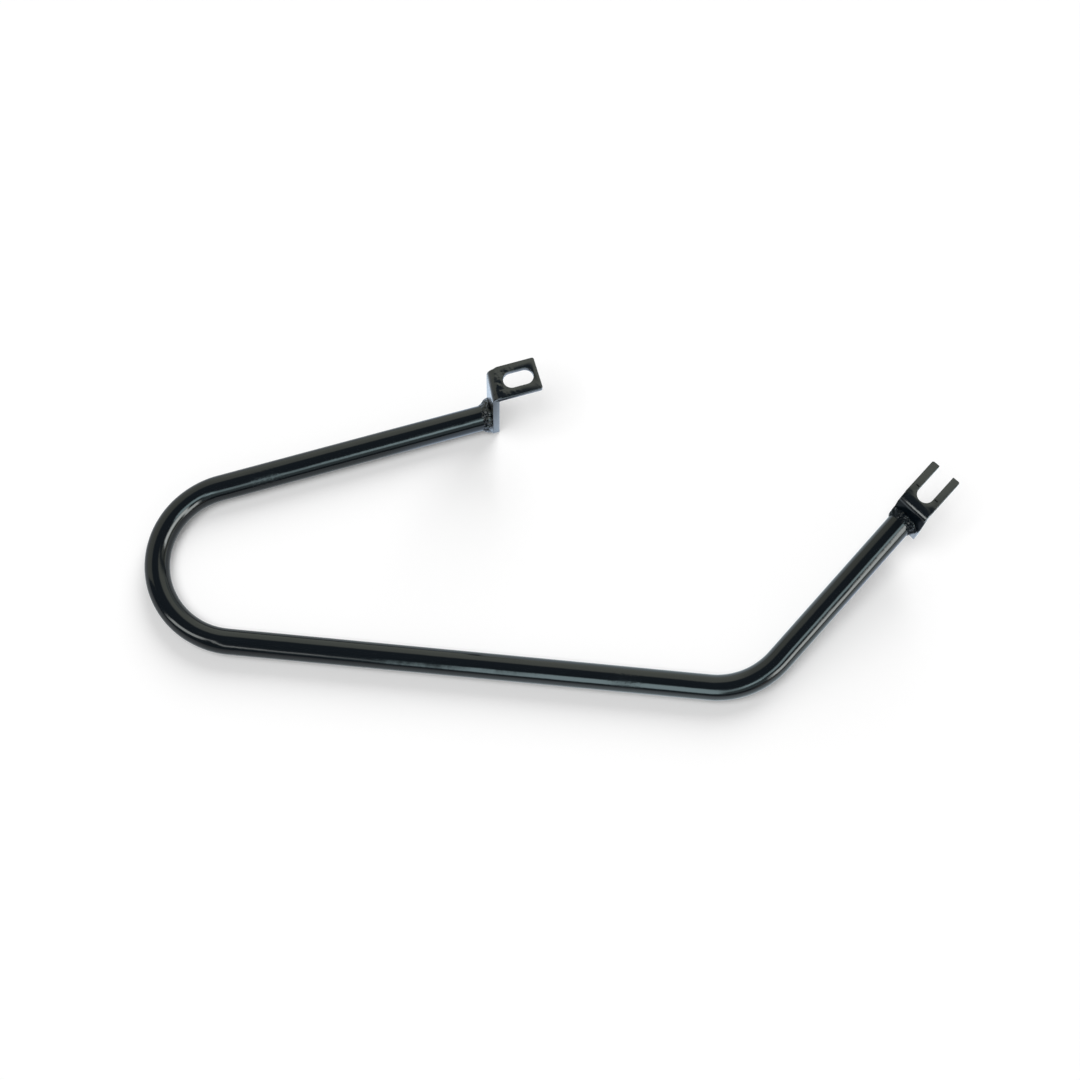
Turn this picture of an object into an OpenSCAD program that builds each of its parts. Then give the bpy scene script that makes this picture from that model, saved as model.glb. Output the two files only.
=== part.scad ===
// Pannier frame for one side of a motorbike.
// One round tube is bent into a long hairpin with a kicked-up front run, and a
// folded flat-bar bracket is welded on each end of it. Millimetres, Z up.
// The origin is the centre of the closed slot on the mounting plane, which the
// upper faces of both brackets share, and X runs along the long straight run.

/* [Tube] */
// Outside diameter of the tube
tube_od = 15; // [13:0.5:17]
// Wall thickness of the tube
tube_wall = 1.5; // [1:0.1:2.5]
// Length of the long straight run between its two bends
long_run = 279.2; // [230:0.1:330]
// Length of the straight run that returns to the slotted bracket
return_run = 166.3; // [120:0.1:210]
// Length of the short straight run that climbs to the forked bracket
kick_run = 109.1; // [80:0.1:140]

/* [Bends] */
// Centreline radius of both bends, which come off one former
bend_r = 47.8; // [40:0.1:60]
// Angle that the hairpin turns the tube through
hairpin_turn = 158.3; // [150:0.1:165]
// Angle that the kick turns the tube through
kick_turn = 53.5; // [45:0.1:62]
// Angle that the tube is rolled between its two bends, which lifts the short run
kick_roll = 12.6; // [8:0.1:16]
// Loss of radius where the tube is drawn round a bend
bend_draw = 0.03; // [0.02:0.01:0.1]

/* [Brackets] */
// Width of the flat bar that both brackets are folded from
bar_w = 20; // [17:0.5:26]
// Thickness of the flat bar
bar_t = 4; // [3:0.5:5]
// Inside radius of each fold
fold_r = 1; // [0.5:0.1:3]
// Radius of the free corners of each bracket
corner_r = 1.2; // [0.5:0.1:2]
// Height of the mounting plane over the middle of the tube in the hairpin
stand_off = 46.5; // [42:0.5:55]

/* [Slotted bracket] */
// Reach of the slotted pad from the end of the tube
slotted_reach = 29.3; // [28:0.1:40]
// Length of flange left below the middle of the tube
slotted_tail = 7.8; // [7.5:0.1:14]
// Place of the tube across the bar: 0 in the middle, 1 level with the bar's right edge
slotted_offset = 0.48; // [-0.6:0.01:0.6]
// Angle that the fold is out of square with the bar
slotted_skew = 4.8; // [0:0.1:6]
// Length of the closed slot from end to end
slot_len = 18; // [14:0.5:19]
// Width of the closed slot
slot_w = 10; // [8:0.5:11]
// Distance from the end of the tube to the middle of the slot
slot_from_tube = 17.3; // [17:0.1:18.5]

/* [Forked bracket] */
// Reach of the prongs from the end of the tube
fork_reach = 30.9; // [28:0.1:40]
// Length of flange left below the middle of the tube
fork_tail = 11.7; // [9:0.1:16]
// Place of the tube across the bar: 0 in the middle, 1 level with the bar's right edge
fork_offset = -0.56; // [-0.6:0.01:0.6]
// Angle that the fold is out of square with the bar
fork_skew = 4; // [0:0.1:6]
// Width of the open slot between the prongs
fork_w = 10; // [8:0.5:11]
// Distance from the end of the tube to the middle of the round slot root
fork_root = 12; // [11.5:0.1:16]

/* [Welds] */
// Length of the weld along the tube
weld_leg = 4.2; // [3:0.1:6]
// Height of the weld up the flange, outside the tube
weld_throat = 2.8; // [2:0.1:4]
// Number of ripples round the weld
weld_ripples = 15; // [9:1:21]
// Height of a ripple as a share of the weld's own size
ripple_depth = 0.16; // [0:0.01:0.25]

/* [Hidden] */
$fn = 96;

paint = "#15171a";
weld_paint = "#1d2023";

tube_r = tube_od / 2;
bore_r = tube_r - tube_wall;
fold_outer_r = fold_r + bar_t;

// Overlap of each straight run into the slightly slimmer bend that it joins
bend_lap = 0.1;

// Places on the tube's middle line, from the start of the long run at the hairpin
return_heading = 180 - hairpin_turn;
return_seat = [
    return_run * cos(return_heading) - bend_r * sin(hairpin_turn),
    return_run * sin(return_heading) + bend_r * (1 - cos(hairpin_turn)),
    0
];
kick_along = bend_r * sin(kick_turn) + kick_run * cos(kick_turn);
kick_across = bend_r * (1 - cos(kick_turn)) + kick_run * sin(kick_turn);
kick_seat = [
    long_run + kick_along,
    kick_across * cos(kick_roll),
    kick_across * sin(kick_roll)
];
kick_heading = atan2(sin(kick_turn) * cos(kick_roll), cos(kick_turn));
kick_climb = asin(sin(kick_turn) * sin(kick_roll));

// Distance from the tube's middle to the middle of each bar, to the left of the run
bar_spare = bar_w / 2 - tube_r;
slotted_shift = slotted_offset * bar_spare;
fork_shift = fork_offset * bar_spare;

// Drop from the mounting plane to the middle of the tube at each flange
slotted_drop = stand_off - return_seat[2];
fork_drop = stand_off - kick_seat[2];

// The frame's origin in the places above
slot_middle = [
    return_seat[0] + slot_from_tube * cos(return_heading) - slotted_shift * sin(return_heading),
    return_seat[1] + slot_from_tube * sin(return_heading) + slotted_shift * cos(return_heading),
    stand_off
];

// Weld sections: spare depth that is trimmed off against the tube and the flange
weld_sink = 0.8;
weld_steps = 6 * weld_ripples;

// Straight length of tube along X that laps into the bend behind its start
module straight(length) {
    translate([-bend_lap, 0, 0])
        rotate([0, 90, 0])
            linear_extrude(length + bend_lap)
                difference() {
                    circle(r = tube_r);
                    circle(r = bore_r);
                }
}

// Bend that starts along X and turns to the left about Z
module bend(turn) {
    translate([0, bend_r, 0])
        rotate([0, 0, -90])
            rotate_extrude(angle = turn)
                translate([bend_r, 0])
                    difference() {
                        circle(r = tube_r - bend_draw);
                        circle(r = bore_r + bend_draw);
                    }
}

// Everything past the outer face of a flange that stands at the local origin
module beyond_flange(skew) {
    past = 4 * tube_od;
    rotate([0, 0, -skew])
        translate([0, -past / 2, -past / 2])
            cube([past, past, past]);
}

// Child at the seat of the slotted bracket, with X pointing out of the tube
module at_return_seat() {
    translate(return_seat - slot_middle)
        rotate([0, 0, return_heading])
            children();
}

// Child at the seat of the forked bracket, with X level and pointing out of the tube
module at_kick_seat() {
    translate(kick_seat - slot_middle)
        rotate([0, 0, kick_heading])
            children();
}

module tube() {
    mitre_allowance = tube_od / 2;
    color(paint)
        difference() {
            translate(-slot_middle) {
                straight(long_run + bend_lap);
                // The hairpin turns backwards from the start of the long run
                mirror([1, 0, 0])
                    bend(hairpin_turn);
                translate([-bend_r * sin(hairpin_turn), bend_r * (1 - cos(hairpin_turn)), 0])
                    rotate([0, 0, return_heading])
                        straight(return_run + mitre_allowance);
                translate([long_run, 0, 0])
                    rotate([kick_roll, 0, 0]) {
                        bend(kick_turn);
                        translate([bend_r * sin(kick_turn), bend_r * (1 - cos(kick_turn)), 0])
                            rotate([0, 0, kick_turn])
                                straight(kick_run + mitre_allowance);
                    }
            }
            at_return_seat()
                beyond_flange(slotted_skew);
            at_kick_seat()
                beyond_flange(fork_skew);
        }
}

// Flat bar folded down square, wider and longer than it finishes.
// The top of the pad is at Z = 0 and the outer face of the flange at X = 0.
module folded_blank(reach, flange) {
    blank_w = 2 * bar_w;
    translate([fold_outer_r, -blank_w / 2, -bar_t])
        cube([reach, blank_w, bar_t]);
    translate([fold_outer_r, blank_w / 2, -fold_outer_r])
        rotate([90, 0, 0])
            rotate([0, 0, 90])
                rotate_extrude(angle = 90)
                    translate([fold_r, 0])
                        square([bar_t, blank_w]);
    translate([0, -blank_w / 2, -flange])
        cube([bar_t, blank_w, flange - fold_outer_r]);
}

// Plan of a bracket: straight sides and two rounded free corners
module bar_plan(reach) {
    behind = bar_w;
    translate([-behind, -bar_w / 2])
        square([behind + reach - corner_r, bar_w]);
    translate([reach - corner_r, corner_r - bar_w / 2])
        square([corner_r, bar_w - 2 * corner_r]);
    for (side = [-1, 1])
        translate([reach - corner_r, side * (bar_w / 2 - corner_r)])
            circle(r = corner_r);
}

// Bracket bar with its fold out of square, so that the flange crosses the local origin
module folded_bar(reach, flange, skew, shift) {
    spare = 1;
    intersection() {
        rotate([0, 0, -skew])
            folded_blank(reach, flange);
        translate([0, shift, -flange - spare])
            linear_extrude(flange + 2 * spare)
                bar_plan(reach);
    }
}

// Cutter for a round-ended slot that runs along X
module slot_cutter(length, width) {
    spare = 1;
    translate([0, 0, -bar_t - spare])
        linear_extrude(bar_t + 2 * spare) {
            square([length - width, width], center = true);
            for (end = [-1, 1])
                translate([end * (length - width) / 2, 0])
                    circle(d = width);
        }
}

module slotted_bracket() {
    color(paint)
        at_return_seat()
            translate([0, 0, slotted_drop])
                difference() {
                    folded_bar(slotted_reach, slotted_drop + slotted_tail, slotted_skew, slotted_shift);
                    translate([slot_from_tube, slotted_shift, 0])
                        slot_cutter(slot_len, slot_w);
                }
}

module forked_bracket() {
    // The open slot runs on past the ends of the prongs
    open_len = 2 * (fork_reach - fork_root) + fork_w;
    color(paint)
        at_kick_seat()
            translate([0, 0, fork_drop])
                difference() {
                    folded_bar(fork_reach, fork_drop + fork_tail, fork_skew, fork_shift);
                    translate([fork_root + (open_len - fork_w) / 2, fork_shift, 0])
                        slot_cutter(open_len, fork_w);
                }
}

// Size of the weld at an angle round the tube: overlapping crescents on a slow swell
function weld_swell(angle) =
    let (crescent = abs(sin(weld_ripples * angle / 2)))
    1 - ripple_depth * (1 - crescent) + ripple_depth / 2 * sin(2 * angle + 40);

// One section of the weld as [distance from the flange, distance from the tube's middle]
function weld_section(angle) =
    let (leg = weld_leg * weld_swell(angle), throat = weld_throat * weld_swell(angle))
    [
        [-weld_sink, -weld_sink],
        [-weld_sink, throat],
        [0.1 * leg, throat],
        [0.5 * leg, 0.62 * throat],
        [0.85 * leg, 0.24 * throat],
        [leg, 0.05 * throat],
        [leg, -weld_sink]
    ];

// Rippled ring of weld round a tube that runs back along -X from the origin.
// The flange face leaves the plane X = 0 by two angles: it leans back towards the
// top by climb, and turns away to the left by skew.
module weld_ring(climb, skew) {
    sections = [
        for (step = [0:weld_steps - 1])
            let (angle = 360 * step / weld_steps)
            [
                for (point = weld_section(angle))
                    let (
                        radius = tube_r + point[1],
                        up = radius * cos(angle),
                        left = radius * sin(angle)
                    )
                    [left * tan(skew) + up * tan(climb) - point[0], left, up]
            ]
    ];
    points = [for (section = sections) for (point = section) point];
    ring = len(sections[0]);
    count = len(points);
    faces = [
        for (step = [0:weld_steps - 1])
            for (i = [0:ring - 1])
                let (
                    a = step * ring + i,
                    b = step * ring + (i + 1) % ring,
                    c = (b + ring) % count,
                    d = (a + ring) % count
                )
                for (face = [[a, b, c], [a, c, d]])
                    face
    ];
    polyhedron(points = points, faces = faces);
}

// Weld between the tube and the flange of a bracket, trimmed to both and to the flat bar
module weld(climb, skew, shift, tail) {
    reach_back = 2 * weld_leg + tube_od;
    color(weld_paint)
        difference() {
            intersection() {
                rotate([0, -climb, 0])
                    weld_ring(climb, skew / cos(climb));
                translate([-reach_back, shift - bar_w / 2, -tail])
                    cube([2 * reach_back, bar_w, tail + tube_od]);
            }
            rotate([0, 90 - climb, 0])
                cylinder(r = tube_r, h = 4 * tube_od, center = true);
            beyond_flange(skew);
        }
}

module slotted_bracket_weld() {
    at_return_seat()
        weld(0, slotted_skew, slotted_shift, slotted_tail);
}

module forked_bracket_weld() {
    at_kick_seat()
        weld(kick_climb, fork_skew, fork_shift, fork_tail);
}

tube();
slotted_bracket();
forked_bracket();
slotted_bracket_weld();
forked_bracket_weld();
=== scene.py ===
"""Dressed pannier frame: a gloss black bent tube with a folded bracket welded on each end."""

import math

import bmesh
import bpy
from mathutils import Matrix, Vector, noise


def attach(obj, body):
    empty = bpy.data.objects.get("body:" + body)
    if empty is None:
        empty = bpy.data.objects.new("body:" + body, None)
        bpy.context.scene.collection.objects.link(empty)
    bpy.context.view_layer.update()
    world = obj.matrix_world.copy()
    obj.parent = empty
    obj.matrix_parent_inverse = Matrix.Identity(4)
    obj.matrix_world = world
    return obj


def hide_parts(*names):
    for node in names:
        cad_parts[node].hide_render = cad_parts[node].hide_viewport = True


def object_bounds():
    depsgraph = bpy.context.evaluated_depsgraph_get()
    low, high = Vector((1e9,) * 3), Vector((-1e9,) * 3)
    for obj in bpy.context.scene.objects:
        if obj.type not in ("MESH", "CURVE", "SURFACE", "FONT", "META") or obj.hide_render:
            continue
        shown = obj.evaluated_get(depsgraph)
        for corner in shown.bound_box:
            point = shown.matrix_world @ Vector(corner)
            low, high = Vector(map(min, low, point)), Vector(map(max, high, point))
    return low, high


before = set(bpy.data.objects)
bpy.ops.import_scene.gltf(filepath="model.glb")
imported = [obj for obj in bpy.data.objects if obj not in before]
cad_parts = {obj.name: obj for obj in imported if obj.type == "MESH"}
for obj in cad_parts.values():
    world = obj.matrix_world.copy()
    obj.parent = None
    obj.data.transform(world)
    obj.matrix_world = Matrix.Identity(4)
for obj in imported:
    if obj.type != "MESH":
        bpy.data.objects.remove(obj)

CAD_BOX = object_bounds()
FLOOR_Z = CAD_BOX[0][2]
MM = 0.001
ON_PLANE = 0.001 * MM

# ------------------------------------------------ sizes in millimetres, as in the part's source
TUBE_R = 7.5
TUBE_WALL = 1.5
LONG_RUN = 279.2
RETURN_RUN = 166.3
KICK_RUN = 109.1
BEND_R = 47.8
HAIRPIN_TURN = math.radians(158.3)
KICK_TURN = math.radians(53.5)
KICK_ROLL = math.radians(12.6)
BAR_W = 20.0
BAR_T = 4.0
FOLD_R = 1.0
FOLD_OUTER_R = FOLD_R + BAR_T
CORNER_R = 1.2
STAND_OFF = 46.5
SLOT_FROM_TUBE = 17.3
SLOTTED_SHIFT = 1.2
FORKED_SHIFT = -1.4

RETURN_HEADING = math.pi - HAIRPIN_TURN
RETURN_SEAT = Vector((
    RETURN_RUN * math.cos(RETURN_HEADING) - BEND_R * math.sin(HAIRPIN_TURN),
    RETURN_RUN * math.sin(RETURN_HEADING) + BEND_R * (1 - math.cos(HAIRPIN_TURN)),
    0,
))
KICK_ALONG = BEND_R * math.sin(KICK_TURN) + KICK_RUN * math.cos(KICK_TURN)
KICK_ACROSS = BEND_R * (1 - math.cos(KICK_TURN)) + KICK_RUN * math.sin(KICK_TURN)
KICK_SEAT = Vector((
    LONG_RUN + KICK_ALONG,
    KICK_ACROSS * math.cos(KICK_ROLL),
    KICK_ACROSS * math.sin(KICK_ROLL),
))
KICK_HEADING = math.atan2(math.sin(KICK_TURN) * math.cos(KICK_ROLL), math.cos(KICK_TURN))
KICK_CLIMB = math.asin(math.sin(KICK_TURN) * math.sin(KICK_ROLL))
ALONG_RETURN = Vector((math.cos(RETURN_HEADING), math.sin(RETURN_HEADING), 0))
LEFT_OF_RETURN = Vector((-math.sin(RETURN_HEADING), math.cos(RETURN_HEADING), 0))
ORIGIN = RETURN_SEAT + SLOT_FROM_TUBE * ALONG_RETURN + SLOTTED_SHIFT * LEFT_OF_RETURN
ORIGIN.z = STAND_OFF
HAIRPIN_MIDDLE = Vector((0, BEND_R, 0)) - ORIGIN


class Bracket:
    """One folded bracket: sizes in millimetres, the skew of its fold in degrees, and its place.

    reach and tail are the pad's end and the flange's lower end, from the middle of the tube's
    end. shift is the bar's middle, left of the tube's. slot is a start, an end and a width. neck
    is how far the edges draw in at the fold. Each nick, a tool mark, is a place along, a place
    across and a length.
    """

    def __init__(self, name, seat, heading, climb, reach, tail, shift, skew, slot, neck, nicks=()):
        self.name, self.heading, self.climb = name, heading, climb
        self.seat = seat - ORIGIN
        self.reach, self.tail, self.shift = reach, tail, shift
        self.skew = math.radians(skew)
        self.slot_start, self.slot_end, self.slot_w = slot
        self.neck, self.nicks = neck, nicks
        self.drop = -self.seat.z

    def place(self):
        """Matrix from the bracket's own frame, with the tube's middle at its origin."""
        return Matrix.Translation(self.seat * MM) @ Matrix.Rotation(self.heading, 4, "Z")


SLOTTED = Bracket(
    "slotted", RETURN_SEAT, RETURN_HEADING, climb=0.0, reach=29.3, tail=7.8,
    shift=SLOTTED_SHIFT, skew=4.8, slot=(8.3, 26.3, 10.0), neck=0.65,
)
FORKED = Bracket(
    "forked", KICK_SEAT, KICK_HEADING, climb=KICK_CLIMB, reach=30.9, tail=11.7,
    shift=FORKED_SHIFT, skew=4.0, slot=(7.0, 60.0, 10.0), neck=0.2,
    nicks=((13.1, 5.4, 2.2), (13.0, -8.2, 2.2)),
)

# ------------------------------------------------ sizes of the dressed pieces alone
TUBE_SIDES = 96
RETURN_STEPS, HAIRPIN_STEPS, LONG_STEPS, KICK_BEND_STEPS, KICK_STEPS = 18, 76, 28, 26, 11
SPARE_TUBE = 8.0        # length that is trimmed off at each end
NEAR_END = 30           # all of a tube end lies this near its seat
NEAR_RIM = 20           # its trimmed rims lie this near
HAIRPIN_SLIM = 0.026    # share that the hairpin slims by
SLIM_IN = (111.7, 135)  # degrees round the hairpin over which the slimming comes
SLIM_OUT = (247, 270)   # and goes
SPARE_BAR = 3           # length that is cut off at the pad's end
FOLD_STEPS = 16
BAR_GAP, BEAD_GAP = 0.01, 0.005  # corners nearer than this are doubles
PAD_LINE = 0.8          # lines of edges past the fold, on the pad and on the flange
FLANGE_LINE = 2.0
CORNER_STEPS = 6
EDGE_EASE = 0.4
EDGE_STEPS = 3
NECK_ON_PAD = 0.7       # how far the drawn-in edges run out past the fold
NECK_ON_FLANGE = 1.9
NECK_ACROSS = (6, 9.4)  # from the bar's middle
NICK_WIDTH = 0.7
NICK_HEIGHT = 1.4
SLOT_SIDES = 72
SLOT_TURN = 2.5         # degrees, so that no corner lies on the line where the cutter parts

# A weld bead's section: how far along the tube and how far out from it
BEAD_SECTION = (
    (-0.6, -1.0), (-0.6, 2.6), (0.3, 2.9), (1.2, 2.5), (2.3, 1.6), (3.4, 0.75), (4.3, 0.2),
    (4.8, -0.6),
)
BEAD_CUTS = 3
BEAD_STEPS = 200
BEAD_OVERHANG = 0.05    # past the edges of the bar
SEED_APART = 40         # in the noise, so that no two beads have the same lumps
SWELL_SCALE, LUMP_SCALE, GRAIN_SCALE = 0.16, 0.42, 1.1
SWELL_GROWS, LUMP_GROWS, GRAIN_GROWS, RIPPLE_GROWS = 0.10, 0.30, 0.10, 0.14
RIPPLES = 6.5
RIPPLE_WANDER = 2.0
RIPPLE_SLANT = 0.5
RIPPLE_MIDDLE = 0.64
LENGTH_SHARE = 0.8      # of a lump's growth that goes along the tube

# Edges that turn by more than this stay sharp
TUBE_SHARP, PLATE_SHARP, BEAD_SHARP = math.radians(35), math.radians(40), math.radians(50)


# ------------------------------------------------ bench tools
def clear_bench():
    """Leaves edit mode and deselects everything."""
    if bpy.context.object and bpy.context.object.mode != "OBJECT":
        bpy.ops.object.mode_set(mode="OBJECT")
    bpy.ops.object.select_all(action="DESELECT")


def take_up(piece):
    """Selects a piece by itself and makes it the active one."""
    clear_bench()
    piece.select_set(True)
    bpy.context.view_layer.objects.active = piece


def start(name, primitive, **how):
    """Adds a primitive by itself and opens it for editing, all selected."""
    clear_bench()
    primitive(**how)
    piece = bpy.context.object
    piece.name = piece.data.name = name
    bpy.ops.object.transform_apply(location=True, rotation=True, scale=True)
    bpy.ops.object.mode_set(mode="EDIT")
    bpy.ops.mesh.select_all(action="SELECT")
    return piece


def pick(piece, kind, wanted):
    """Selects the vertices or edges of the open piece that pass a test."""
    bpy.ops.mesh.select_mode(type=kind)
    bpy.ops.mesh.select_all(action="DESELECT")
    mesh = bmesh.from_edit_mesh(piece.data)
    for part in {"VERT": mesh.verts, "EDGE": mesh.edges}[kind]:
        if wanted(part):
            part.select_set(True)
    mesh.select_flush_mode()
    bmesh.update_edit_mesh(piece.data)


def pull(vector):
    """Extrudes what is selected by a vector in millimetres."""
    bpy.ops.mesh.extrude_region_move(TRANSFORM_OT_translate={"value": Vector(vector) * MM})


def sweep(turn, steps, middle, axis):
    """Extrudes what is selected round an axis through a point in millimetres."""
    bpy.ops.mesh.spin(steps=steps, angle=-turn, center=Vector(middle) * MM, axis=Vector(axis))


def cut(point, normal):
    """Cuts everything off past a plane, whose point is in millimetres, and closes the cut."""
    bpy.ops.mesh.select_all(action="SELECT")
    bpy.ops.mesh.bisect(
        plane_co=Vector(point) * MM, plane_no=Vector(normal), use_fill=True, clear_outer=True,
        threshold=ON_PLANE,
    )


def score(point, normal):
    """Adds a line of edges where a plane, whose point is in millimetres, crosses the piece."""
    bpy.ops.mesh.select_all(action="SELECT")
    bpy.ops.mesh.bisect(
        plane_co=Vector(point) * MM, plane_no=Vector(normal), threshold=ON_PLANE,
    )


def close_up(gap):
    """Merges the doubles of the open piece and points its faces outwards."""
    bpy.ops.mesh.select_all(action="SELECT")
    bpy.ops.mesh.remove_doubles(threshold=gap * MM)
    bpy.ops.mesh.normals_make_consistent(inside=False)


def ease(value, low, high):
    """0 below low, 1 above high, smooth between them."""
    share = min(max((value - low) / (high - low), 0.0), 1.0)
    return share * share * (3 - 2 * share)


def modify(piece, kind, **settings):
    """Adds a modifier and applies it."""
    take_up(piece)
    modifier = piece.modifiers.new(kind.lower(), kind)
    for name, value in settings.items():
        setattr(modifier, name, value)
    bpy.ops.object.modifier_apply(modifier=modifier.name)


def take_away(piece, cutter):
    """Cuts the shape of a cutter out of a piece, and puts the cutter away."""
    modify(piece, "BOOLEAN", operation="DIFFERENCE", object=cutter, solver="EXACT")
    bpy.data.objects.remove(cutter)


def settle(piece, place):
    """Puts a piece where it belongs and leaves its object at the origin."""
    take_up(piece)
    piece.matrix_world = place
    bpy.ops.object.transform_apply(location=True, rotation=True, scale=True)


def fit(piece, node, finish):
    """Puts a dressed piece in the place of its node."""
    piece.data.materials.clear()
    piece.data.materials.append(finish)
    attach(piece, "root")
    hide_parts(node)


# ------------------------------------------------ shader tools
class Reading:
    """A value in a shader; numbers have Python's arithmetic."""

    def __init__(self, finish, socket):
        self.finish, self.socket = finish, socket

    def _with(self, operation, *others):
        return self.finish.node("ShaderNodeMath", {"operation": operation}, *others)

    def __add__(self, other):
        return self._with("ADD", self, other)

    def __radd__(self, other):
        return self._with("ADD", other, self)

    def __sub__(self, other):
        return self._with("SUBTRACT", self, other)

    def __rsub__(self, other):
        return self._with("SUBTRACT", other, self)

    def __mul__(self, other):
        return self._with("MULTIPLY", self, other)

    def __rmul__(self, other):
        return self._with("MULTIPLY", other, self)

    def rising(self, low, high):
        """0 below low, 1 above high, smooth between them."""
        ramp = {"interpolation_type": "SMOOTHSTEP"}
        return self.finish.node("ShaderNodeMapRange", ramp, self, low, high, 0.0, 1.0)

    def between(self, low, high, soft):
        """1 inside a band with soft sides."""
        return self.rising(low - soft, low + soft) * (1 - self.rising(high - soft, high + soft))

    def largest(self, other):
        """The larger of two numbers."""
        return self._with("MAXIMUM", self, other)


class Finish:
    """Builds the nodes of one material or of the world."""

    MIX_SHARE, MIX_FIRST, MIX_SECOND, MIX_RESULT = 0, 6, 7, 2
    NOISE_ROUGHNESS = 0.55

    def __init__(self, owner):
        owner.use_nodes = True
        self.tree = owner.node_tree
        self.tree.nodes.clear()

    def _feed(self, socket, value):
        if isinstance(value, Reading):
            self.tree.links.new(value.socket, socket)
        else:
            socket.default_value = value

    def node(self, kind, settings=None, *values, out=0, **named):
        """Adds a node: its settings, then its sockets by place or by name."""
        node = self.tree.nodes.new(kind)
        for name, value in (settings or {}).items():
            setattr(node, name, value)
        for index, value in enumerate(values):
            self._feed(node.inputs[index], value)
        for name, value in named.items():
            self._feed(node.inputs[name.replace("_", " ")], value)
        return Reading(self, node.outputs[out]) if len(node.outputs) else None

    def mix(self, share, first, second):
        """Colour between two others."""
        node = self.tree.nodes.new("ShaderNodeMix")
        node.data_type = "RGBA"
        self._feed(node.inputs[self.MIX_SHARE], share)
        self._feed(node.inputs[self.MIX_FIRST], first)
        self._feed(node.inputs[self.MIX_SECOND], second)
        return Reading(self, node.outputs[self.MIX_RESULT])

    def ray(self, kind):
        """1 for rays of one kind."""
        return self.node("ShaderNodeLightPath", out=kind)

    def parts(self, vector):
        """The three parts of a vector."""
        node = self.tree.nodes.new("ShaderNodeSeparateXYZ")
        self._feed(node.inputs[0], vector)
        return [Reading(self, socket) for socket in node.outputs]

    def here(self):
        """Place on the object, in metres."""
        return self.node("ShaderNodeTexCoord", out="Object")

    def noise(self, place, scale, detail=2.0):
        """Soft noise about the middle of 0 to 1."""
        return self.node(
            "ShaderNodeTexNoise", None, place,
            Scale=scale, Detail=detail, Roughness=self.NOISE_ROUGHNESS,
        )

    def near(self, place, middle, inner, outer):
        """1 round a point, fading to 0 between two distances from it."""
        distance = {"operation": "DISTANCE"}
        away = self.node("ShaderNodeVectorMath", distance, place, middle, out=1)
        return 1 - away.rising(inner, outer)


def grey(value):
    """An even grey."""
    return (value, value, value, 1.0)


# ------------------------------------------------ surroundings
COOL = (0.76, 1.0, 1.05)
PLAIN = (0.95, 1.0, 0.98)
OLIVE = (0.93, 1.0, 0.87)
WARM = (1.0, 0.85, 0.75)
DIM_ROOM = (0.07, 0.11, 0.14, 1)
SHADING_GREY = 0.225
UPRIGHT = None
WALL_FOOT = (60, -0.15)

# What gloss sees, later ones over earlier ones: the turns and the falls that a lit or dark patch
# lies between, its strength and tint, how soft its turns and its falls are, and its shear, a turn
# and the falls per turn that it leans by from there. A turn goes round from +X and a fall goes
# down from straight up, all in degrees.
ROOM = (
    ((36, 190), (28, 200), 0.78, OLIVE, (6, 6), WALL_FOOT),
    ((36, 112), (29, 200), 1.16, OLIVE, (10, 8), WALL_FOOT),
    ((38, 72), (70, 83), 0.5, COOL, (8, 5), UPRIGHT),
    ((-30, 26), (60, 95), 0.36, OLIVE, (4, 5), UPRIGHT),
    ((-26, 26), (80, 97), 1.15, OLIVE, (4, 4), UPRIGHT),
    ((8, 24), (42, 62), 0.80, OLIVE, (4, 5), UPRIGHT),
    ((-80, -50), (50, 78), 0.62, COOL, (5, 5), UPRIGHT),
    ((-82, -64), (38, 54), 2.9, COOL, (5, 7), (-67, 0.5)),
    ((-66, -54), (35, 50), 5.2, COOL, (4, 5), (-62, 0.5)),
    ((-97, -88), (64, 73), 0.9, COOL, (3, 4), UPRIGHT),
    ((-93, -78), (37, 75), 4.5, COOL, (2.5, 6), (-86, 0.5)),
    ((-122, -97), (180, 190), 3.2, PLAIN, (3, 3), (0, -1.25)),
    ((-152, -123), (43, 67), 5.0, PLAIN, (4, 5), (-138, 0.75)),
    ((-56, -28), (84, 95), 0.75, WARM, (4, 4), UPRIGHT),
    ((-55, -10), (24, 41), 4.2, COOL, (5, 6), UPRIGHT),
    ((-47, -27), (60, 81), 7.2, PLAIN, (4, 5), (-37, -0.4)),
    ((-33, 11), (44, 65), 8.4, PLAIN, (3, 7), UPRIGHT),
)

# Painted reflection of the floor, an emission that gloss alone sees in place of the lit paper: its
# colours, painted shade in front, and where they fade over, in metres
PAINTED_REFLECTION_LEFT, PAINTED_REFLECTION_RIGHT = (0.36, 0.44, 0.48, 1), (1.20, 1.50, 1.65, 1)
PAINTED_SHADE_IN_FRONT = (0.05, 0.08, 0.10, 1)
# Painted pools of light near each bracket, seen in gloss alone
PAINTED_LIGHT_AT_SLOTTED, PAINTED_LIGHT_AT_FORKED = (1.05, 1.35, 1.72, 1), (1.30, 1.60, 2.00, 1)
PAPER_FADES_ALONG = (-0.18, 0.24)
PAPER_FADES_AWAY = (-0.26, -0.20)
PAPER_SIZE = 12
PAPER_WHITE = 0.9
PAPER_GLOW = 0.12       # for the camera alone, so that unshaded paper is white
PAINTED_REFLECTION_SHARE = 0.6


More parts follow.
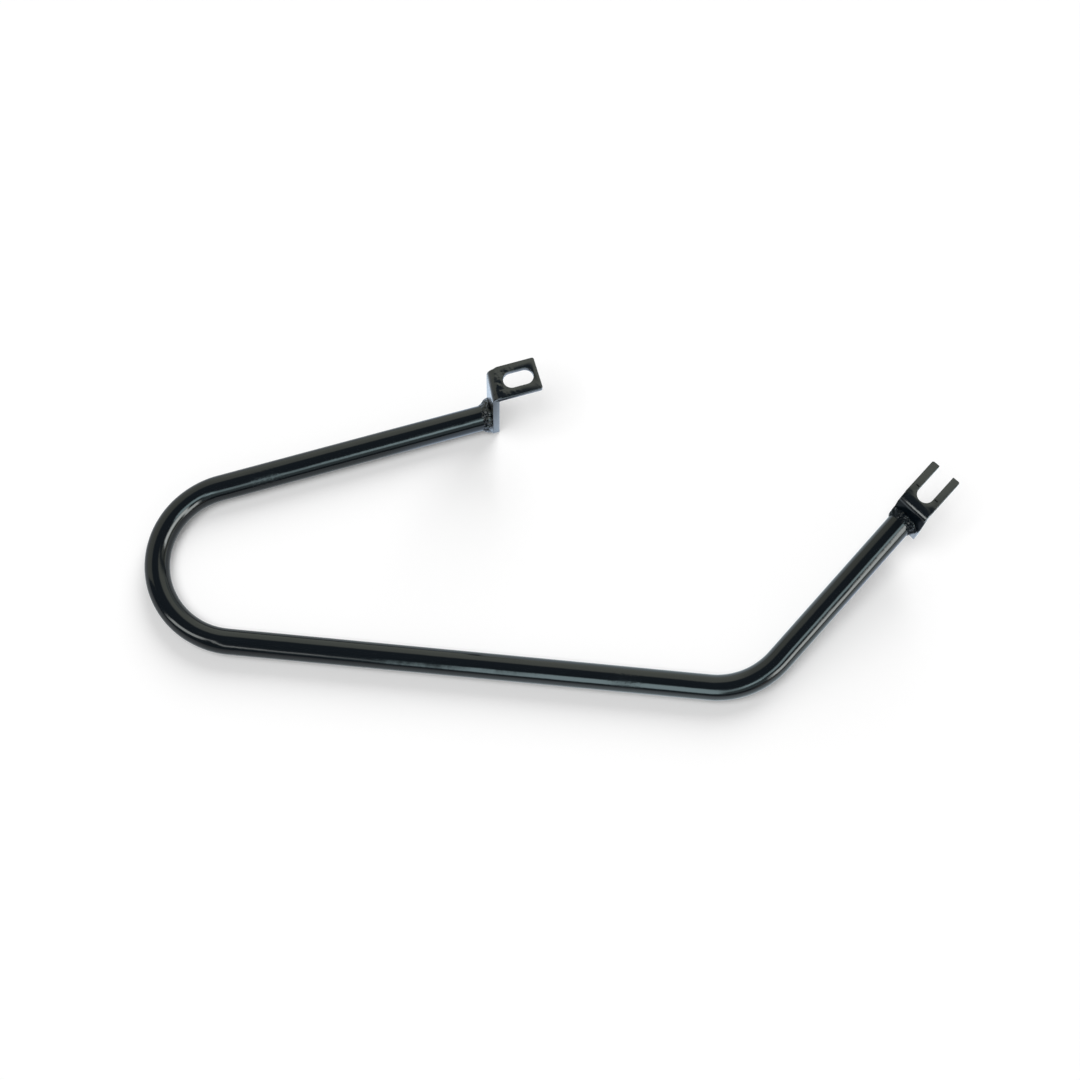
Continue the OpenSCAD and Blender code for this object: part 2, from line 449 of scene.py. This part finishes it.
def studio_world():
    """White behind the object, an even grey on it, and for gloss a dim room with lit patches."""
    world = bpy.data.worlds.new("studio")
    bpy.context.scene.world = world
    f = Finish(world)
    x, y, z = f.parts(f.node("ShaderNodeTexCoord"))
    degrees = 180 / math.pi
    turn = f.node("ShaderNodeMath", {"operation": "ARCTAN2"}, y, x) * degrees
    fall = f.node("ShaderNodeMath", {"operation": "ARCCOSINE"}, z) * degrees
    room = DIM_ROOM
    for turns, falls, strength, tint, (soft_turns, soft_falls), shear in ROOM:
        leaning = fall
        if shear:
            leaning = fall + (turn - shear[0]) * shear[1]
        pane = turn.between(*turns, soft_turns) * leaning.between(*falls, soft_falls)
        room = f.mix(pane, room, tuple(strength * part for part in tint) + (1.0,))
    fill = f.mix(f.ray("Is Glossy Ray"), grey(SHADING_GREY), room)
    seen = f.mix(f.ray("Is Camera Ray"), fill, grey(1.0))
    f.node("ShaderNodeOutputWorld", None, f.node("ShaderNodeBackground", None, seen, 1.0))


def soft_lamp(name, strength, lean, side, spread):
    """Daylight that leans from straight overhead toward one side, all in degrees."""
    lamp = bpy.data.objects.new(name, bpy.data.lights.new(name, "SUN"))
    lamp.data.energy = strength
    lamp.data.angle = math.radians(spread)
    toward = Matrix.Rotation(math.radians(side), 4, "Z")
    lamp.matrix_world = toward @ Matrix.Rotation(math.radians(lean), 4, "Y")
    lamp.visible_glossy = False
    bpy.context.scene.collection.objects.link(lamp)


def pale_floor():
    """White paper that takes the object's shadow.

    Gloss sees a painted reflection: painted shade left and in front, painted light by each
    bracket.
    """
    floor = start(
        "floor", bpy.ops.mesh.primitive_plane_add, size=PAPER_SIZE, location=(0, 0, FLOOR_Z),
    )
    clear_bench()
    paper = bpy.data.materials.new("white_paper")
    f = Finish(paper)
    here = f.here()
    along, away = f.parts(here)[:2]
    # Painted reflection: colours that glow for gloss alone, dimmer to the left, with painted shade
    # in front
    painted_reflection = f.mix(along.rising(*PAPER_FADES_ALONG), PAINTED_REFLECTION_LEFT, PAINTED_REFLECTION_RIGHT)
    painted_reflection = f.mix(away.rising(*PAPER_FADES_AWAY), PAINTED_SHADE_IN_FRONT, painted_reflection)
    # Painted pools of light on the floor near each bracket, seen in gloss alone
    painted_pool_at_slotted = f.near(here, (0.0, -0.02, FLOOR_Z), 0.035, 0.085)
    painted_reflection = f.mix(painted_pool_at_slotted, painted_reflection, PAINTED_LIGHT_AT_SLOTTED)
    painted_pool_at_forked = f.near(here, (0.235, -0.09, FLOOR_Z), 0.022, 0.05)
    painted_reflection = f.mix(painted_pool_at_forked, painted_reflection, PAINTED_LIGHT_AT_FORKED)
    white = f.node("ShaderNodeBsdfDiffuse", None, grey(PAPER_WHITE))
    glow = f.mix(f.ray("Is Camera Ray"), grey(0.0), grey(PAPER_GLOW))
    lit_white = f.node(
        "ShaderNodeAddShader", None, white, f.node("ShaderNodeEmission", None, glow, 1.0),
    )
    # Painted reflection: gloss sees this emission in place of the paper's real light and shadow
    painted_glow = f.node("ShaderNodeEmission", None, painted_reflection, 1.0)
    share = f.ray("Is Glossy Ray") * PAINTED_REFLECTION_SHARE
    seen = f.node("ShaderNodeMixShader", None, share, lit_white, painted_glow)
    f.node("ShaderNodeOutputMaterial", None, seen)
    floor.data.materials.append(paper)


def photo_camera():
    """The photograph's viewing place, in millimetres, and angle."""
    eye = bpy.data.objects.new("camera", bpy.data.cameras.new("camera"))
    eye.data.lens = 69.17
    eye.data.sensor_width = 36.0
    place = Vector((30.7, -443.9, 1119.7))
    right = Vector((0.99554839, 0.09201646, 0.02040514))
    down = Vector((0.09392901, -0.95070721, -0.2955218))
    ahead = Vector((-0.00779356, 0.29612289, -0.95511805))
    turn = Matrix((right, -down, -ahead)).transposed().to_4x4()
    eye.matrix_world = Matrix.Translation(place * MM) @ turn
    eye.data.clip_end = 30
    bpy.context.scene.collection.objects.link(eye)
    bpy.context.scene.camera = eye


# ------------------------------------------------ the tube
def bent_tube():
    """One tube from the slotted seat round the hairpin, along, and up the kick."""
    first = (RETURN_SEAT - ORIGIN + SPARE_TUBE * ALONG_RETURN) * MM
    piece = start(
        "bent_tube", bpy.ops.mesh.primitive_circle_add, vertices=TUBE_SIDES, radius=TUBE_R * MM,
        location=first, rotation=(math.pi / 2, 0, RETURN_HEADING + math.pi / 2),
    )
    for _ in range(RETURN_STEPS):
        pull(-ALONG_RETURN * (RETURN_RUN + SPARE_TUBE) / RETURN_STEPS)
    sweep(HAIRPIN_TURN, HAIRPIN_STEPS, HAIRPIN_MIDDLE, (0, 0, 1))
    for _ in range(LONG_STEPS):
        pull((LONG_RUN / LONG_STEPS, 0, 0))
    kick_axis = Vector((0, -math.sin(KICK_ROLL), math.cos(KICK_ROLL)))
    kick_arm = Vector((LONG_RUN, BEND_R * math.cos(KICK_ROLL), BEND_R * math.sin(KICK_ROLL)))
    sweep(KICK_TURN, KICK_BEND_STEPS, kick_arm - ORIGIN, kick_axis)
    up_kick = Matrix.Rotation(KICK_TURN, 3, kick_axis) @ Vector((1, 0, 0))
    for _ in range(KICK_STEPS):
        pull(up_kick * (KICK_RUN + SPARE_TUBE) / KICK_STEPS)
    clear_bench()
    return piece


def slim_hairpin(piece):
    """Slims the tube a little in the plane of the hairpin, as bending does."""
    for vert in piece.data.vertices:
        arm = vert.co / MM - HAIRPIN_MIDDLE
        angle = math.degrees(math.atan2(arm.y, arm.x)) % 360
        inside = ease(angle, *SLIM_IN) * (1 - ease(angle, *SLIM_OUT))
        reach = math.hypot(arm.x, arm.y)
        if inside and abs(reach - BEND_R) < 2 * TUBE_R:
            slim = BEND_R + (reach - BEND_R) * (1 - HAIRPIN_SLIM * inside)
            vert.co.x = (HAIRPIN_MIDDLE.x + arm.x * slim / reach) * MM
            vert.co.y = (HAIRPIN_MIDDLE.y + arm.y * slim / reach) * MM


def tube_ends(piece):
    """Gives the tube its wall and cuts both ends to the flanges they stand on."""
    modify(
        piece, "SOLIDIFY", thickness=TUBE_WALL * MM, offset=-1.0, use_rim=False,
        use_quality_normals=True,
    )
    for bracket in (SLOTTED, FORKED):
        face = Matrix.Rotation(bracket.heading - bracket.skew, 3, "Z") @ Vector((1, 0, 0))
        seat = bracket.seat * MM
        bpy.ops.object.mode_set(mode="EDIT")
        pick(piece, "VERT", lambda v: (v.co - seat).length < NEAR_END * MM)
        bpy.ops.mesh.bisect(
            plane_co=seat, plane_no=face, use_fill=False, clear_outer=True, threshold=ON_PLANE,
        )
        pick(
            piece, "EDGE",
            lambda e: e.is_boundary and (e.verts[0].co - seat).length < NEAR_RIM * MM,
        )
        bpy.ops.mesh.bridge_edge_loops()
        bpy.ops.object.mode_set(mode="OBJECT")
    bpy.ops.object.shade_smooth_by_angle(angle=TUBE_SHARP)


# ------------------------------------------------ the brackets
def folded_bar(bracket, name):
    """Over-wide flat bar folded down square, and turned by the skew of its fold."""
    end_middle = ((bracket.reach + SPARE_BAR) * MM, 0, -BAR_T / 2 * MM)
    blank = start(
        name, bpy.ops.mesh.primitive_plane_add, size=1, location=end_middle,
        rotation=(0, math.pi / 2, 0),
    )
    bpy.ops.transform.resize(value=(1, 2 * BAR_W * MM, BAR_T * MM), center_override=end_middle)
    pull((FOLD_OUTER_R - bracket.reach - SPARE_BAR, 0, 0))
    sweep(-math.pi / 2, FOLD_STEPS, (FOLD_OUTER_R, 0, -FOLD_OUTER_R), (0, 1, 0))
    pull((0, 0, FOLD_OUTER_R - bracket.drop - bracket.tail))
    close_up(BAR_GAP)
    score((FOLD_OUTER_R + PAD_LINE, 0, 0), (1, 0, 0))
    score((0, 0, -FOLD_OUTER_R - FLANGE_LINE), (0, 0, 1))
    clear_bench()
    settle(blank, Matrix.Rotation(-bracket.skew, 4, "Z"))
    return blank


def folded_bracket(bracket, name):
    """Folded bar cut to its sides, slotted, and eased at its edges."""
    blank = folded_bar(bracket, name)
    bpy.ops.object.mode_set(mode="EDIT")
    cut((bracket.reach, 0, 0), (1, 0, 0))
    for side in (-1, 1):
        cut((0, bracket.shift + side * BAR_W / 2, 0), (0, side, 0))
    free_end = (bracket.reach - 0.1) * MM

    def corner(edge):
        upright = abs((edge.verts[0].co - edge.verts[1].co).normalized().z) > 0.9
        return upright and all(vert.co.x > free_end for vert in edge.verts)

    pick(blank, "EDGE", corner)
    bpy.ops.mesh.bevel(offset=CORNER_R * MM, segments=CORNER_STEPS, affect="EDGES")
    clear_bench()
    take_away(blank, slot_cutter(bracket))
    modify(
        blank, "BEVEL", width=EDGE_EASE * MM, segments=EDGE_STEPS, limit_method="ANGLE",
        angle_limit=PLATE_SHARP, harden_normals=False,
    )
    neck_fold(blank, bracket)
    for nick in bracket.nicks:
        take_away(blank, nick_cutter(*nick))
    bpy.ops.object.shade_smooth_by_angle(angle=PLATE_SHARP)
    settle(blank, bracket.place() @ Matrix.Translation((0, 0, bracket.drop * MM)))
    return blank


def slot_cutter(bracket):
    """Round-ended cutter for the slot."""
    half = (bracket.slot_end - bracket.slot_start - bracket.slot_w) / 2
    middle = (bracket.slot_start + bracket.slot_end) / 2
    piece = start(
        "slot_cutter", bpy.ops.mesh.primitive_cylinder_add, vertices=SLOT_SIDES,
        radius=bracket.slot_w / 2 * MM, depth=3 * BAR_T * MM, location=(0, 0, 0),
        rotation=(0, 0, math.radians(SLOT_TURN)),
    )
    for side in (-1, 1):
        pick(piece, "VERT", lambda v: v.co.x * side > 0)
        bpy.ops.transform.translate(value=(side * half * MM, 0, 0))
    clear_bench()
    settle(piece, Matrix.Translation((middle * MM, bracket.shift * MM, -BAR_T / 2 * MM)))
    return piece


def nick_cutter(x, y, length):
    """Thin cutter for a tool mark across a prong."""
    place = (x * MM, y * MM, 0)
    piece = start("nick_cutter", bpy.ops.mesh.primitive_cube_add, size=MM, location=place)
    bpy.ops.transform.resize(value=(NICK_WIDTH, length, NICK_HEIGHT), center_override=place)
    clear_bench()
    return piece


def neck_fold(piece, bracket):
    """Draws the bar's edges in where the outside of the fold was stretched."""
    for vert in piece.data.vertices:
        x, y, z = vert.co / MM
        off = x * math.cos(bracket.skew) - y * math.sin(bracket.skew)
        bent = 1 - ease(off, FOLD_OUTER_R, FOLD_OUTER_R + NECK_ON_PAD)
        bent *= ease(z, -FOLD_OUTER_R - NECK_ON_FLANGE, -FOLD_OUTER_R)
        across = math.hypot(min(off - FOLD_OUTER_R, 0), max(z + FOLD_OUTER_R, 0))
        side = y - bracket.shift
        draw = bracket.neck * bent * ease(across, FOLD_R, FOLD_OUTER_R)
        draw *= ease(abs(side), *NECK_ACROSS)
        vert.co.y -= math.copysign(draw, side) * MM


# ------------------------------------------------ the welds
def bead_ring(name, throw):
    """Even ring of weld metal round the tube's middle."""
    piece = start(
        name, bpy.ops.mesh.primitive_circle_add, vertices=len(BEAD_SECTION), radius=MM,
        location=(0, 0, 0),
    )
    mesh = bmesh.from_edit_mesh(piece.data)
    mesh.verts.ensure_lookup_table()
    for vert, (along, out) in zip(mesh.verts, BEAD_SECTION):
        vert.co = Vector((-along * throw, 0, TUBE_R + out)) * MM
    bmesh.update_edit_mesh(piece.data)
    bpy.ops.mesh.subdivide(number_cuts=BEAD_CUTS)
    sweep(2 * math.pi, BEAD_STEPS, (0, 0, 0), (1, 0, 0))
    close_up(BEAD_GAP)
    clear_bench()
    return piece


def lump_bead(piece, bracket, seed):
    """Makes a ring lumpy and rippled, and leans it to the flange."""
    lean_skew = math.tan(bracket.skew / math.cos(bracket.climb))
    lean_climb = math.tan(bracket.climb)
    for vert in piece.data.vertices:
        co = vert.co / MM
        angle = math.atan2(co.y, co.z)
        out = math.hypot(co.y, co.z) - TUBE_R
        place = Vector((co.x, co.y, co.z + SEED_APART * seed))
        swell = noise.noise(place * SWELL_SCALE)
        lump = noise.noise(place * LUMP_SCALE)
        grain = noise.noise(place * GRAIN_SCALE)
        phase = RIPPLES * angle + RIPPLE_WANDER * swell - RIPPLE_SLANT * co.x
        ripple = abs(math.sin(phase)) - RIPPLE_MIDDLE
        grow = SWELL_GROWS * swell + LUMP_GROWS * lump + GRAIN_GROWS * grain
        grow += RIPPLE_GROWS * ripple
        if out > 0:
            out *= 1 + grow
        along = co.x * (1 + LENGTH_SHARE * grow)
        co = Vector((along, (TUBE_R + out) * math.sin(angle), (TUBE_R + out) * math.cos(angle)))
        co.x += co.y * lean_skew + co.z * lean_climb
        vert.co = co * MM


def weld_bead(bracket, name, seed, throw):
    """Lumpy ring of weld metal between the tube's end and the flange."""
    piece = bead_ring(name, throw)
    lump_bead(piece, bracket, seed)
    settle(piece, Matrix.Rotation(-bracket.climb, 4, "Y"))
    bpy.ops.object.mode_set(mode="EDIT")
    cut((0, 0, 0), (math.cos(bracket.skew), -math.sin(bracket.skew), 0))
    for side in (-1, 1):
        cut((0, bracket.shift + side * (BAR_W / 2 + BEAD_OVERHANG), 0), (0, side, 0))
    cut((0, 0, -bracket.tail), (0, 0, -1))
    take_up(piece)
    bpy.ops.object.shade_smooth_by_angle(angle=BEAD_SHARP)
    settle(piece, bracket.place())
    return piece


# ------------------------------------------------ finishes
BLACK = (0.0045, 0.0055, 0.007, 1)
# Matt black of the painted shade
SHADE_BLACK = (0.003, 0.006, 0.009, 1)
PAINT_IOR = 1.5
PLATE_IOR = 1.62


def black_gloss(f, height, dull, ior=PAINT_IOR, painted_shade_mask=None):
    """Gloss black paint over a height in millimetres, turned to a matt painted shade where the
    mask says.
    """
    bump = f.node("ShaderNodeBump", None, Strength=1.0, Distance=MM, Height=height)
    skin = f.node(
        "ShaderNodeBsdfPrincipled", None, Base_Color=BLACK, Roughness=dull, IOR=ior, Normal=bump,
    )
    if painted_shade_mask is not None:
        painted_shade = f.node("ShaderNodeBsdfDiffuse", None, SHADE_BLACK)
        skin = f.node("ShaderNodeMixShader", None, painted_shade_mask, skin, painted_shade)
    f.node("ShaderNodeOutputMaterial", None, skin)


def tube_paint():
    """Paint on the tube: long waves, a fine peel and two rough patches."""
    paint = bpy.data.materials.new("gloss_black_tube")
    f = Finish(paint)
    here = f.here()
    wave = f.noise(here, 20.0, 1.0)
    ripple = f.noise(here, 120.0)
    peel = f.noise(here, 900.0, 3.0)
    grain = f.noise(here, 700.0)
    on_return_run = f.near(here, (-0.142, -0.066, -0.042), 0.004, 0.016)
    on_long_run = f.near(here, (0.078, -0.163, -0.042), 0.003, 0.014)
    patch = on_return_run.largest(on_long_run)
    height = wave * 0.5 + ripple * 0.06 + peel * 0.010 + grain * patch * 0.16
    black_gloss(f, height, 0.07 + peel * 0.05 + patch * 0.08)
    return paint


def plate_paint(bracket, name, lean, mottle, web, painted_shade):
    """Paint on a bracket that isn't quite flat, streaked across and peeled all over.

    lean tips its faces in depth, mottle is the height of the blotches near the fold, web is the
    rise from the fold to the slot, and the last is the share of painted shade on the flange.
    """
    paint = bpy.data.materials.new(name)
    f = Finish(paint)
    here = f.here()
    bar = f.node(
        "ShaderNodeMapping", {"vector_type": "TEXTURE"}, here, tuple(bracket.seat * MM),
        (0, 0, bracket.heading), (MM, MM, MM),
    )
    along, _, up = f.parts(bar)
    streaked = f.node("ShaderNodeMapping", None, bar, Scale=(2.2, 0.22, 1.0))
    streaks = f.noise(streaked, 1.0)
    blotches = f.noise(bar, 0.34, 1.0)
    peel = f.noise(bar, 0.9, 3.0)
    near_fold = 1 - along.rising(12.0, 18.0)
    near_fold = near_fold * up.rising(bracket.drop - 4.0, bracket.drop - 1.5)
    slope = f.parts(here)[1] * (-lean / MM)
    bent = along.rising(3.5, 9.5) * web
    # Painted shade: the flange under the fold turns matt black, all but a spot near its lower
    # corner
    under_fold = 1 - up.rising(bracket.drop - 4.5, bracket.drop - 2.5)
    painted_shade_mask = under_fold * (1 - along.rising(1.5, 2.5)) * painted_shade
    painted_shade_mask = painted_shade_mask * (1 - f.near(bar, (0.0, -10.5, -6.0), 5.0, 9.0))
    height = slope + bent + blotches * near_fold * mottle + streaks * 0.006 + peel * 0.008
    black_gloss(f, height, 0.11 + peel * 0.10, PLATE_IOR, painted_shade_mask)
    return paint


def weld_paint(name, painted_shade):
    """Paint pooled over spattered weld metal, with painted shade in the hollows between the drops.
    """
    paint = bpy.data.materials.new(name)
    f = Finish(paint)
    here = f.here()
    drops = f.noise(here, 380.0)
    height = drops * 0.30 + f.noise(here, 1100.0) * 0.09
    # Painted shade: matt black in the hollows between the drops
    black_gloss(f, height, 0.07, painted_shade_mask=(1 - drops.rising(0.50, 0.60)) * painted_shade)
    return paint


# The last look is the share of painted shade on each flange
PLATE_LOOKS = {
    SLOTTED: {"lean": 0.093, "mottle": 0.36, "web": -0.10, "painted_shade": 0.0},
    FORKED: {"lean": 0.09, "mottle": 0.06, "web": 0.34, "painted_shade": 0.92},
}
BEAD_SHAPES = {SLOTTED: {"seed": 1.3, "throw": 1.2}, FORKED: {"seed": 2.6, "throw": 1.0}}
# Share of painted shade in each bead's hollows
BEAD_PAINTED_SHADE = {SLOTTED: 0.0, FORKED: 0.75}

bpy.context.scene.view_settings.view_transform = "Standard"
photo_camera()
studio_world()
pale_floor()
soft_lamp("overhead_light", strength=1.38, lean=16.0, side=210.0, spread=34.0)
soft_lamp("leaning_light", strength=1.95, lean=56.0, side=75.0, spread=40.0)

tube = bent_tube()
slim_hairpin(tube)
tube_ends(tube)
fit(tube, "tube", tube_paint())
for bracket in (SLOTTED, FORKED):
    plate = folded_bracket(bracket, f"{bracket.name}_plate")
    painted = plate_paint(bracket, f"gloss_black_{bracket.name}", **PLATE_LOOKS[bracket])
    fit(plate, f"{bracket.name}_bracket", painted)
    bead = weld_bead(bracket, f"{bracket.name}_bead", **BEAD_SHAPES[bracket])
    welded = weld_paint(f"gloss_black_{bracket.name}_weld", BEAD_PAINTED_SHADE[bracket])
    fit(bead, f"{bracket.name}_bracket_weld", welded)

clear_bench()
